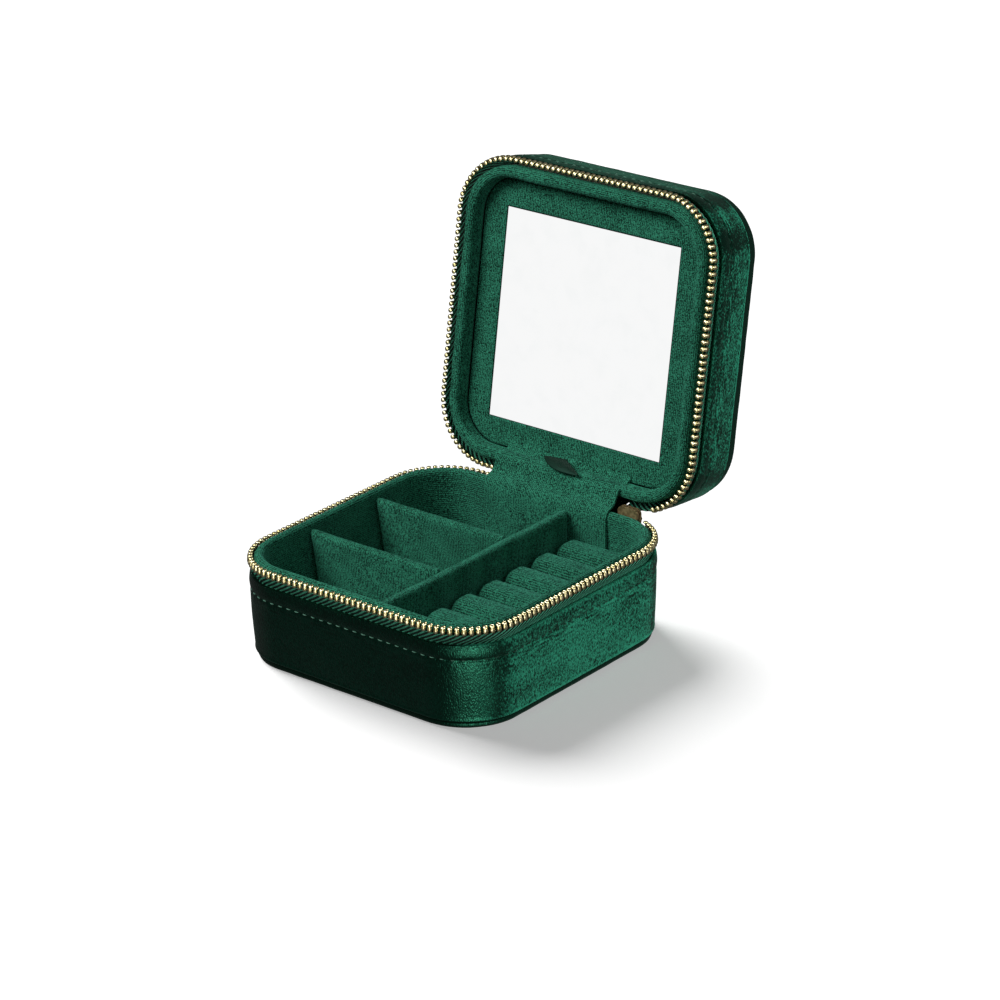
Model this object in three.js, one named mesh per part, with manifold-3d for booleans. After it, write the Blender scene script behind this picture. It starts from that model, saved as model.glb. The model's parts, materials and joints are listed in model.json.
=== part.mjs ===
// A small travel jewelry case: a velvet-covered square box with rounded corners and a zip round
// three sides. The lid hinges on a fabric spine along the back and stands open, leaning back.
// Millimetres, +Z up, origin at the centre of the underside, front towards -Y, hinge towards +Y.
// Everything on the lid is drawn as if the lid were shut, and the lid group then opens it.
import * as THREE from 'three';
import { mergeVertices } from 'three/addons/utils/BufferGeometryUtils.js';
import Module from 'manifold-3d';

const wasm = await Module();
wasm.setup();

// ---- driving dimensions -------------------------------------------------------------------
const CASE_HALF = 50; // half of the case's width and of its depth, at the zip
const CORNER_R = 20; // corner radius of that outline
const CASE_H = 59; // shut height
const PARTING_Z = 33.5; // height of the zip's middle, and of the hinge line
const HINGE_Y = 50.6; // the hinge line runs along the chain's outer face
const LID_OPEN = 100; // degrees the lid stands open on its taut inner strip
const FOOT_HALF = 49.3; // the walls draw in a little towards the bottom and the top
const GAP = 0.3; // clearance between neighbouring solids
const CLOTH = 0.75; // thickness of the velvet with its backing
const BOARD = 1.2; // thickness of the stiff board in the walls
const TAPE = 0.45; // thickness of the zip's tape

const COVER_Z = 27.5; // top edge of the base's outer velvet
const LID_COVER_Z = 39.5; // matching edge of the lid's outer velvet
const PANEL_T = 2.0; // bottom and top panels
const TOOTH_PITCH = 2.28; // spacing of the zip's teeth
const TOOTH_W = 1.4; // thickness of the chain across the wall
const BEAD_H = 0.8; // the part of the chain's height that the teeth stand on
const TOOTH_H = 2.35; // whole height of the chain on one half
const ZIP_LEFT = -26; // the zip's two ends, on the back wall
const ZIP_RIGHT = 34;

const LINER_HALF = 45.3; // inside faces of the lined walls
const RIM_HALF = 46.9; // crest of the padded rim
const RIM_TOP = 33.2; // height of that crest
const DIVIDER_T = 3.4; // padded dividers
const DIVIDER_TOP = 31;
const LONG_X = 8.5; // the divider that runs front to back
const CROSS_FRONT_Y = -14.5; // the two dividers left of it
const CROSS_BACK_Y = 16.5;
const ROLL_COUNT = 7; // ring rolls, right of the long divider
const ROLL_TOP = 24;
const STRIP_HALF = 24.4; // half the width of the inner hinge strip

const PANEL_HALF = 43.1; // mirror panel in the lid
const PANEL_Z = 39.3; // its face, towards the base
const MIRROR_HALF = 34; // square mirror
const MIRROR_Y = 0.5; // its centre sits a little towards the hinge
const MIRROR_T = 1.0;

// ---- colours ------------------------------------------------------------------------------
const outerVelvet = () => new THREE.MeshStandardMaterial({ color: 0x0f5c40, roughness: 0.95, metalness: 0 });
const innerVelvet = () => new THREE.MeshStandardMaterial({ color: 0x1c6e4c, roughness: 0.95, metalness: 0 });
const tapeFabric = () => new THREE.MeshStandardMaterial({ color: 0x1c4a3a, roughness: 0.85, metalness: 0 });
const boardCard = () => new THREE.MeshStandardMaterial({ color: 0x8c8478, roughness: 0.9, metalness: 0 });
const goldMetal = () => new THREE.MeshStandardMaterial({ color: 0xcdb26c, roughness: 0.3, metalness: 1 });
const mirrorGlass = () => new THREE.MeshStandardMaterial({ color: 0xe8ecec, roughness: 0.05, metalness: 1 });
const satinRibbon = () => new THREE.MeshStandardMaterial({ color: 0x0c4030, roughness: 0.4, metalness: 0 });

// ---- outlines and loops -------------------------------------------------------------------
// Every outline is a rounded square whose corners share the same four centres, so a point is a
// corner centre (or a point on the straight side between two of them) plus an outward offset.
const CORNER_C = CASE_HALF - CORNER_R;
const CORNER_STEPS = 6;

function roundedSquare(half, cy = 0) {
  const r = half - CORNER_C;
  const shape = new THREE.Shape();
  shape.moveTo(-CORNER_C, cy - half);
  shape.lineTo(CORNER_C, cy - half);
  shape.absarc(CORNER_C, cy - CORNER_C, r, -Math.PI / 2, 0);
  shape.lineTo(half, cy + CORNER_C);
  shape.absarc(CORNER_C, cy + CORNER_C, r, 0, Math.PI / 2);
  shape.lineTo(-CORNER_C, cy + half);
  shape.absarc(-CORNER_C, cy + CORNER_C, r, Math.PI / 2, Math.PI);
  shape.lineTo(-half, cy - CORNER_C);
  shape.absarc(-CORNER_C, cy - CORNER_C, r, Math.PI, 1.5 * Math.PI);
  return shape;
}

function squareOutline(half, cy = 0) {
  const shape = new THREE.Shape();
  shape.moveTo(-half, cy - half);
  shape.lineTo(half, cy - half);
  shape.lineTo(half, cy + half);
  shape.lineTo(-half, cy + half);
  shape.closePath();
  return shape;
}

function slab(shape, z0, z1) {
  const geometry = new THREE.ExtrudeGeometry(shape, { depth: z1 - z0, bevelEnabled: false, curveSegments: CORNER_STEPS });
  geometry.translate(0, 0, z0);
  return geometry;
}

// Stations of a wall: each holds a point on the corner-centre square and the outward direction.
function wallStations() {
  const stations = [];
  for (let corner = 0; corner < 4; corner += 1) {
    const turn = (corner * Math.PI) / 2;
    const middle = turn + Math.PI / 4;
    const cx = CORNER_C * Math.sign(Math.cos(middle));
    const cy = CORNER_C * Math.sign(Math.sin(middle));
    for (let step = 0; step <= CORNER_STEPS; step += 1) {
      const angle = turn + (step / CORNER_STEPS) * (Math.PI / 2);
      stations.push({ x: cx, y: cy, nx: Math.cos(angle), ny: Math.sin(angle) });
    }
  }
  return stations;
}

// The zip's route, from its left end on the back wall round the front to its right end.
// A distance along the outline is turned into a station, anticlockwise seen from above.
const QUARTER = (Math.PI / 2) * CORNER_R;
const SIDE = 2 * CORNER_C;

function stationAt(distance) {
  let rest = distance;
  for (let side = 0; ; side += 1) {
    const heading = Math.PI / 2 + (side * Math.PI) / 2;
    const nx = Math.cos(heading);
    const ny = Math.sin(heading);
    if (rest <= SIDE) {
      const along = CORNER_C - rest;
      return { x: CORNER_C * nx + along * ny, y: CORNER_C * ny - along * nx, nx, ny };
    }
    rest -= SIDE;
    if (rest <= QUARTER) {
      const angle = heading + rest / CORNER_R;
      return { x: CORNER_C * (nx - ny), y: CORNER_C * (ny + nx), nx: Math.cos(angle), ny: Math.sin(angle) };
    }
    rest -= QUARTER;
  }
}

const ZIP_START = CORNER_C - ZIP_LEFT;
const ZIP_END = 4 * (SIDE + QUARTER) - CORNER_R * Math.asin((ZIP_RIGHT - CORNER_C) / CORNER_R);
const TOOTH_COUNT = Math.round((ZIP_END - ZIP_START) / TOOTH_PITCH);

// A lathe's rings are moved from a circle onto the stations, one ring to each station.
// profiles(index) gives the closed profile there, as (outward offset, height) pairs.
function loopBody(stations, profiles) {
  const first = profiles(0);
  const geometry = new THREE.LatheGeometry(first.concat([first[0]]), stations.length);
  const position = geometry.attributes.position;
  const ringSize = first.length + 1;
  for (let ring = 0; ring <= stations.length; ring += 1) {
    const index = ring % stations.length;
    const station = stations[index];
    const profile = profiles(index);
    for (let j = 0; j < ringSize; j += 1) {
      const point = profile[j % first.length];
      const reach = point.x - CORNER_C;
      position.setXYZ(ring * ringSize + j, station.x + reach * station.nx, station.y + reach * station.ny, point.y);
    }
  }
  return geometry;
}

function wallBody(profile) {
  return loopBody(wallStations(), () => profile);
}

const P = (offset, height) => new THREE.Vector2(offset, height);

function arcPoints(cx, cz, r, from, to, steps) {
  const points = [];
  for (let i = 0; i <= steps; i += 1) {
    const angle = THREE.MathUtils.degToRad(from + ((to - from) * i) / steps);
    points.push(P(cx + r * Math.cos(angle), cz + r * Math.sin(angle)));
  }
  return points;
}

// The same profile turned over about the parting plane, for the lid. Order is reversed so that
// the outer side still runs upwards.
const turnedOver = (profile) => profile.map((p) => P(p.x, 2 * PARTING_Z - p.y)).reverse();

// ---- joins and cuts -----------------------------------------------------------------------
function toSolid(geometry) {
  const bare = geometry.index ? geometry.clone() : mergeVertices(geometry);
  bare.deleteAttribute('normal');
  bare.deleteAttribute('uv');
  const merged = mergeVertices(bare, 1e-4);
  return new wasm.Manifold(new wasm.Mesh({
    numProp: 3,
    vertProperties: new Float32Array(merged.attributes.position.array),
    triVerts: new Uint32Array(merged.index.array),
  }));
}

function toGeometry(solid) {
  const mesh = solid.getMesh();
  const geometry = new THREE.BufferGeometry();
  geometry.setAttribute('position', new THREE.BufferAttribute(new Float32Array(mesh.vertProperties), 3));
  geometry.setIndex(new THREE.BufferAttribute(new Uint32Array(mesh.triVerts), 1));
  return geometry;
}

const cut = (geometry, ...tools) => toGeometry(tools.reduce((s, t) => s.subtract(toSolid(t)), toSolid(geometry)));
const join = (geometry, ...others) => toGeometry(others.reduce((s, o) => s.add(toSolid(o)), toSolid(geometry)));
const overlapOf = (a, b) => toGeometry(toSolid(a).intersect(toSolid(b)));

function block(x0, x1, y0, y1, z0, z1) {
  const geometry = new THREE.BoxGeometry(x1 - x0, y1 - y0, z1 - z0);
  geometry.translate((x0 + x1) / 2, (y0 + y1) / 2, (z0 + z1) / 2);
  return geometry;
}

// An outline drawn in (y, z), run along X, and one drawn in (x, z), run along Y.
function alongX(shape, x0, x1) {
  const geometry = new THREE.ExtrudeGeometry(shape, { depth: x1 - x0, bevelEnabled: false, curveSegments: 6 });
  geometry.applyMatrix4(new THREE.Matrix4().makeBasis(
    new THREE.Vector3(0, 1, 0), new THREE.Vector3(0, 0, 1), new THREE.Vector3(1, 0, 0),
  ));
  geometry.translate(x0, 0, 0);
  return geometry;
}

function alongY(shape, y0, y1) {
  const geometry = new THREE.ExtrudeGeometry(shape, { depth: y1 - y0, bevelEnabled: false, curveSegments: 6 });
  geometry.applyMatrix4(new THREE.Matrix4().makeBasis(
    new THREE.Vector3(1, 0, 0), new THREE.Vector3(0, 0, 1), new THREE.Vector3(0, -1, 0),
  ));
  geometry.translate(0, y1, 0);
  return geometry;
}

// A strip of cloth seen edge on: a smooth line through the points, thickened on both sides.
function stripOutline(points, thickness, steps) {
  const curve = new THREE.SplineCurve(points);
  const left = [];
  const right = [];
  for (let i = 0; i <= steps; i += 1) {
    const at = curve.getPoint(i / steps);
    const along = curve.getTangent(i / steps);
    left.push(P(at.x - (along.y * thickness) / 2, at.y + (along.x * thickness) / 2));
    right.push(P(at.x + (along.y * thickness) / 2, at.y - (along.x * thickness) / 2));
  }
  return new THREE.Shape(left.concat(right.reverse()));
}

const openAngle = THREE.MathUtils.degToRad(LID_OPEN);

// Where a point of the shut lid, given as (y, z), goes when the lid stands open.
function opened(y, z) {
  const dy = y - HINGE_Y;
  const dz = z - PARTING_Z;
  return P(
    HINGE_Y + dy * Math.cos(openAngle) + dz * Math.sin(openAngle),
    PARTING_Z - dy * Math.sin(openAngle) + dz * Math.cos(openAngle),
  );
}

const caseGroup = new THREE.Group();
const lidGroup = new THREE.Group();
const lidShut = new THREE.Group();
lidShut.position.set(0, -HINGE_Y, -PARTING_Z);
lidGroup.position.set(0, HINGE_Y, PARTING_Z);
lidGroup.rotation.x = -openAngle;
lidGroup.add(lidShut);
caseGroup.add(lidGroup);

function piece(parent, name, geometry, material) {
  const mesh = new THREE.Mesh(geometry, material);
  mesh.name = name;
  parent.add(mesh);
}

// ---- outer covers, boards and panels ------------------------------------------------------
// The velvet cover leans out from the foot to the zip, with a soft swell between.
const SWELL = 0.35;
const coverProfile = [
  P(FOOT_HALF - CLOTH, PANEL_T + GAP),
  P(FOOT_HALF, PANEL_T + GAP),
  P((FOOT_HALF + CASE_HALF) / 2 + SWELL, (PANEL_T + COVER_Z) / 2),
  P(CASE_HALF, COVER_Z),
  P(CASE_HALF - CLOTH, COVER_Z),
  P((FOOT_HALF + CASE_HALF) / 2 + SWELL - CLOTH, (PANEL_T + COVER_Z) / 2),
];
const lidCoverFoot = CASE_H - PANEL_T - GAP;
const lidCoverProfile = [
  P(CASE_HALF - CLOTH, LID_COVER_Z),
  P(CASE_HALF, LID_COVER_Z),
  P((FOOT_HALF + CASE_HALF) / 2 + SWELL, (LID_COVER_Z + lidCoverFoot) / 2),
  P(FOOT_HALF, lidCoverFoot),
  P(FOOT_HALF - CLOTH, lidCoverFoot),
  P((FOOT_HALF + CASE_HALF) / 2 + SWELL - CLOTH, (LID_COVER_Z + lidCoverFoot) / 2),
];
const BOARD_OUT = FOOT_HALF - CLOTH - TAPE - 2 * GAP; // board faces, inside the cover and the tape
const BOARD_IN = BOARD_OUT - BOARD;
const BOARD_TOP = 28.4;
const boardProfile = [
  P(BOARD_IN, PANEL_T + GAP), P(BOARD_OUT, PANEL_T + GAP), P(BOARD_OUT, BOARD_TOP), P(BOARD_IN, BOARD_TOP),
];
const LID_BOARD_FOOT = 40.5;
const lidBoardProfile = [
  P(BOARD_IN, LID_BOARD_FOOT), P(BOARD_OUT, LID_BOARD_FOOT), P(BOARD_OUT, lidCoverFoot), P(BOARD_IN, lidCoverFoot),
];
const PANEL_OUT = FOOT_HALF - 0.6; // the flat panels stand just inside the cover's folded edge

piece(caseGroup, 'base_bottom_panel', slab(roundedSquare(PANEL_OUT), 0, PANEL_T), outerVelvet());
piece(caseGroup, 'base_wall_cover', wallBody(coverProfile), outerVelvet());
piece(caseGroup, 'base_wall_board', wallBody(boardProfile), boardCard());
piece(lidShut, 'lid_top_panel', slab(roundedSquare(PANEL_OUT), CASE_H - PANEL_T, CASE_H), outerVelvet());
piece(lidShut, 'lid_wall_cover', wallBody(lidCoverProfile), outerVelvet());
piece(lidShut, 'lid_wall_board', wallBody(lidBoardProfile), boardCard());

// ---- zip: two tapes, two rows of teeth, slider and pull -----------------------------------
const TAPE_IN = BOARD_OUT + GAP;
const TAPE_FOOT = 24;
const TAPE_TOP = PARTING_Z - TOOTH_H - GAP - 0.25;
const tapeProfile = [
  P(TAPE_IN, TAPE_FOOT), P(TAPE_IN + TAPE, TAPE_FOOT), P(TAPE_IN + TAPE, COVER_Z),
  P(CASE_HALF + TAPE / 2, TAPE_TOP), P(CASE_HALF - TAPE / 2, TAPE_TOP), P(TAPE_IN, COVER_Z),
];
const SLIDER_LENGTH = 7.8;
const SLIDER_X1 = ZIP_RIGHT - 2 * GAP;
const SLIDER_X0 = SLIDER_X1 - SLIDER_LENGTH;
const SPINE_X0 = ZIP_LEFT + GAP;
const SPINE_X1 = SLIDER_X0 - GAP;
const BACK_Y = CORNER_C + 5; // anything beyond this is on the back wall or its corners
const farBack = CASE_HALF + 5;

const tapeGap = block(ZIP_LEFT, SPINE_X1 + GAP, BACK_Y, farBack, 0, CASE_H);
piece(caseGroup, 'base_zip_tape', cut(wallBody(tapeProfile), tapeGap), tapeFabric());
piece(lidShut, 'lid_zip_tape', cut(wallBody(turnedOver(tapeProfile)), tapeGap), tapeFabric());

// The teeth are a low bead that rises to a point at each tooth. The two rows are half a pitch
// apart, so that they would mesh where they meet.
function teethBody(turned) {
  const foot = PARTING_Z - TOOTH_H - 0.25;
  const shift = turned ? 0.5 : 0;
  const stations = [];
  for (let i = 0; i < 2 * TOOTH_COUNT; i += 1) {
    stations.push(stationAt(ZIP_START + ((ZIP_END - ZIP_START) * (i / 2 + shift)) / (TOOTH_COUNT + 1)));
  }
  const profiles = (index) => {
    const top = foot + (index % 2 === 0 ? TOOTH_H : BEAD_H);
    const profile = [
      P(CASE_HALF - TOOTH_W / 2, foot), P(CASE_HALF + TOOTH_W / 2, foot),
      P(CASE_HALF + TOOTH_W / 2, top), P(CASE_HALF - TOOTH_W / 2, top),
    ];
    return turned ? turnedOver(profile) : profile;
  };
  const unzipped = block(ZIP_LEFT, ZIP_RIGHT, BACK_Y, farBack, 0, CASE_H);
  return cut(loopBody(stations, profiles), unzipped);
}
piece(caseGroup, 'base_zip_teeth', teethBody(false), goldMetal());
piece(lidShut, 'lid_zip_teeth', teethBody(true), goldMetal());

// The slider is parked at the right end, behind the corner: an inner plate, a neck, an outer
// plate, and a bail whose bar the pull's eye hangs on.
const SLIDER_MID_X = (SLIDER_X0 + SLIDER_X1) / 2;
const BAR_Y = 53.2;
const BAR_Z = 31;
const BAR_R = 0.55;
const OUTER_PLATE_Y = 51.2; // outer face of the outer plate

function sliderPlate(y0, y1, z0, z1) {
  const r = 1.6;
  const shape = new THREE.Shape();
  shape.moveTo(SLIDER_X0 + r, z0);
  shape.lineTo(SLIDER_X1 - r, z0);
  shape.absarc(SLIDER_X1 - r, z0 + r, r, -Math.PI / 2, 0);
  shape.lineTo(SLIDER_X1, z1 - r);
  shape.absarc(SLIDER_X1 - r, z1 - r, r, 0, Math.PI / 2);
  shape.lineTo(SLIDER_X0 + r, z1);
  shape.absarc(SLIDER_X0 + r, z1 - r, r, Math.PI / 2, Math.PI);
  shape.lineTo(SLIDER_X0, z0 + r);
  shape.absarc(SLIDER_X0 + r, z0 + r, r, Math.PI, 1.5 * Math.PI);
  return alongY(shape, y0, y1);
}

function bailBody() {
  const reach = 2.6; // half the bail's length
  const root = OUTER_PLATE_Y - 0.4;
  const arch = new THREE.CatmullRomCurve3([
    new THREE.Vector3(SLIDER_MID_X - reach, root, BAR_Z),
    new THREE.Vector3(SLIDER_MID_X - reach * 0.9, BAR_Y - 0.4, BAR_Z),
    new THREE.Vector3(SLIDER_MID_X - reach * 0.5, BAR_Y, BAR_Z),
    new THREE.Vector3(SLIDER_MID_X + reach * 0.5, BAR_Y, BAR_Z),
    new THREE.Vector3(SLIDER_MID_X + reach * 0.9, BAR_Y - 0.4, BAR_Z),
    new THREE.Vector3(SLIDER_MID_X + reach, root, BAR_Z),
  ]);
  const section = new THREE.Shape();
  section.absarc(0, 0, BAR_R, 0, 2 * Math.PI);
  return new THREE.ExtrudeGeometry(section, { steps: 16, curveSegments: 4, extrudePath: arch });
}

const SLIDER_Z1 = 35.2;
piece(caseGroup, 'zip_slider', join(
  sliderPlate(49.1, 49.8, 31.5, SLIDER_Z1),
  sliderPlate(50.5, OUTER_PLATE_Y, 29.6, SLIDER_Z1),
  block(SLIDER_MID_X - 2, SLIDER_MID_X + 2, 49.6, 50.7, 32.9, 34.1),
  bailBody(),
), goldMetal());

// The pull hangs from the bail's bar: an eye round the bar, a neck, and a flat rounded tab.
function pullBody() {
  const eye = new THREE.LatheGeometry([
    P(BAR_R + 0.3, -0.6), P(BAR_R + 1.1, -0.6), P(BAR_R + 1.1, 0.6), P(BAR_R + 0.3, 0.6), P(BAR_R + 0.3, -0.6),
  ], 12);
  eye.rotateZ(Math.PI / 2);
  eye.translate(SLIDER_MID_X, BAR_Y, BAR_Z);
  const width = 5.2;
  const top = BAR_Z - BAR_R - 0.8;
  const bottom = BAR_Z - 20;
  const tab = new THREE.Shape();
  tab.moveTo(SLIDER_MID_X - 0.9, top);
  tab.lineTo(SLIDER_MID_X - width / 2, bottom + width / 2);
  tab.absarc(SLIDER_MID_X, bottom + width / 2, width / 2, Math.PI, 2 * Math.PI);
  tab.lineTo(SLIDER_MID_X + 0.9, top);
  tab.closePath();
  return join(eye, alongY(tab, BAR_Y - 0.5, BAR_Y + 0.5));
}
piece(caseGroup, 'zip_pull', pullBody(), goldMetal());

// ---- fabric across the hinge --------------------------------------------------------------
// The spine joins the two covers on the outside. The inner strip runs from the lid's groove over
// both rims and down the inside of the back wall, and its length stops the lid.
const tapeMid = TAPE_IN + TAPE / 2;
const spineLine = [
  P(tapeMid, TAPE_FOOT), P(tapeMid, COVER_Z), P(CASE_HALF - 0.2, 31.2), P(CASE_HALF + 0.6, 33.0),
  opened(CASE_HALF - 0.3, 36.2), opened(tapeMid, 2 * PARTING_Z - COVER_Z), opened(tapeMid, 2 * PARTING_Z - TAPE_FOOT),
];
const spine = alongX(stripOutline(spineLine, TAPE, 20), SPINE_X0, SPINE_X1);
piece(caseGroup, 'hinge_spine', spine, outerVelvet());

const STRIP_T = 0.7;
const stripLine = [
  P(LINER_HALF - GAP - STRIP_T / 2, 14), P(LINER_HALF - GAP - STRIP_T / 2, 24), P(LINER_HALF - 0.75, 31),
  P(RIM_HALF - 0.9, RIM_TOP + 0.75), P(49.2, 34.6), opened(45.6, 33.0), opened(44.2, 33.6),
];
const strip = alongX(stripOutline(stripLine, STRIP_T, 28), -STRIP_HALF, STRIP_HALF);
piece(caseGroup, 'hinge_strip', strip, innerVelvet());

// ---- inside the base ----------------------------------------------------------------------
const FLOOR_T = 1.4;
const FLOOR_Z = PANEL_T + GAP + FLOOR_T;
const LINER_OUT = BOARD_IN - GAP;
const RIM_R = 1.75;
const linerProfile = [
  P(LINER_HALF, PANEL_T + GAP), P(LINER_OUT, PANEL_T + GAP), P(LINER_OUT, BOARD_TOP + 0.5),
  ...arcPoints(RIM_HALF, RIM_TOP - RIM_R, RIM_R, -60, 170, 7),
  P(LINER_HALF, 29.5),
];
piece(caseGroup, 'base_wall_liner', wallBody(linerProfile), innerVelvet());
const insideOutline = roundedSquare(LINER_HALF - GAP);
piece(caseGroup, 'base_floor_liner', slab(insideOutline, PANEL_T + GAP, FLOOR_Z), innerVelvet());

function dividerOutline(centre) {
  const foot = FLOOR_Z + GAP;
  const shoulder = DIVIDER_TOP - DIVIDER_T / 2;
  const shape = new THREE.Shape();
  shape.moveTo(centre - DIVIDER_T / 2, foot);
  shape.lineTo(centre + DIVIDER_T / 2, foot);
  shape.lineTo(centre + DIVIDER_T / 2, shoulder);
  shape.absarc(centre, shoulder, DIVIDER_T / 2, 0, Math.PI);
  shape.closePath();
  return shape;
}
const insideReach = LINER_HALF - GAP;
// The long divider stops short of the hinge strip, which lies on the back wall.
const longDivider = alongY(dividerOutline(LONG_X), -insideReach, insideReach - STRIP_T - 2 * GAP);
piece(caseGroup, 'divider_long', longDivider, innerVelvet());
const crossEnd = LONG_X - DIVIDER_T / 2 - GAP;
piece(caseGroup, 'divider_cross_front', alongX(dividerOutline(CROSS_FRONT_Y), -insideReach, crossEnd), innerVelvet());
piece(caseGroup, 'divider_cross_back', alongX(dividerOutline(CROSS_BACK_Y), -insideReach, crossEnd), innerVelvet());

// Ring section: a card on the floor, and padded rolls on it, tight enough to hold a ring between.
const BED_X0 = LONG_X + DIVIDER_T / 2 + GAP;
const ROLL_X0 = BED_X0 + 1.6;
const CARD_T = 1.5;
const CARD_TOP = FLOOR_Z + GAP + CARD_T;
const bedReach = insideReach - GAP;
const bedPrism = slab(roundedSquare(bedReach), FLOOR_Z, PARTING_Z);
const card = overlapOf(bedPrism, block(BED_X0, CASE_HALF, -bedReach, bedReach - STRIP_T, FLOOR_Z + GAP, CARD_TOP));
piece(caseGroup, 'ring_bed_card', card, boardCard());

const ROLL_SHOULDER = 18.5;
const bedLength = 2 * bedReach - STRIP_T;
const rollPitch = bedLength / ROLL_COUNT;
for (let i = 0; i < ROLL_COUNT; i += 1) {
  const centre = -bedReach + rollPitch * (i + 0.5);
  const half = rollPitch / 2 - GAP / 2;
  const shape = new THREE.Shape();
  shape.moveTo(centre - half, CARD_TOP + GAP);
  shape.lineTo(centre + half, CARD_TOP + GAP);
  shape.lineTo(centre + half, ROLL_SHOULDER);
  shape.absellipse(centre, ROLL_SHOULDER, half, ROLL_TOP - ROLL_SHOULDER, 0, Math.PI);
  shape.closePath();
  const roll = overlapOf(alongX(shape, ROLL_X0, CASE_HALF), bedPrism);
  piece(caseGroup, `ring_roll_${i + 1}`, roll, innerVelvet());
}

// ---- inside the lid -----------------------------------------------------------------------
// A padded roll lines the lid's mouth, and the mirror panel lies flat inside it.
const ROLL_HALF = 45.45;
const ROLL_R = 1.95;
const ROLL_CREST = PARTING_Z + 0.5;
const lidRollProfile = [
  ...arcPoints(ROLL_HALF, ROLL_CREST + ROLL_R, ROLL_R, -180, 0, 8),
  P(ROLL_HALF + ROLL_R, LID_BOARD_FOOT - GAP), P(ROLL_HALF - ROLL_R, LID_BOARD_FOOT - GAP),
];
piece(lidShut, 'lid_rim_roll', wallBody(lidRollProfile), innerVelvet());

const LID_LINER_FOOT = PANEL_Z + 3.3;
const lidLinerTop = CASE_H - PANEL_T - GAP - FLOOR_T - GAP;
const lidLinerProfile = [
  P(LINER_OUT - 3, LID_LINER_FOOT), P(LINER_OUT, LID_LINER_FOOT), P(LINER_OUT, lidLinerTop), P(LINER_OUT - 3, lidLinerTop),
];
piece(lidShut, 'lid_wall_liner', wallBody(lidLinerProfile), innerVelvet());
const ceiling = slab(roundedSquare(LINER_OUT), lidLinerTop + GAP, lidLinerTop + GAP + FLOOR_T);
piece(lidShut, 'lid_ceiling_liner', ceiling, innerVelvet());

const PANEL_BACK = PANEL_Z + 3;
const RECESS = MIRROR_T + GAP;
const mirrorPocket = slab(squareOutline(MIRROR_HALF + GAP, MIRROR_Y), PANEL_Z - 1, PANEL_Z + RECESS + GAP);
piece(lidShut, 'mirror_panel', cut(slab(roundedSquare(PANEL_HALF), PANEL_Z, PANEL_BACK), mirrorPocket), innerVelvet());
const glass = slab(squareOutline(MIRROR_HALF, MIRROR_Y), PANEL_Z + GAP, PANEL_Z + GAP + MIRROR_T);
piece(lidShut, 'mirror_glass', glass, mirrorGlass());

// A short loop of ribbon at the panel's hinge edge, to lift the panel by.
const ribbonLine = [
  P(42.6, PANEL_Z - 0.5), P(41.6, PANEL_Z - 1.6), P(41.3, PANEL_Z - 3.0), P(42.2, PANEL_Z - 3.7), P(43.0, PANEL_Z - 2.6),
];
const ribbon = alongX(stripOutline(ribbonLine, 0.35, 12), -9.5, 3);
piece(lidShut, 'ribbon_tab', ribbon, satinRibbon());

export default caseGroup;
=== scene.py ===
# %% [markdown]
# # A travel jewelry case in velvet
# The case is a small square box with rounded corners. A zip runs round three sides, and the lid
# leans back on a fabric hinge and holds a mirror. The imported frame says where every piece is, so
# each surface below starts from a box of the frame and adds what a plain solid can't show: nap,
# ribs, stitches, padding and the shape of each zip tooth.

# %% The frame
import json
import math

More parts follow.
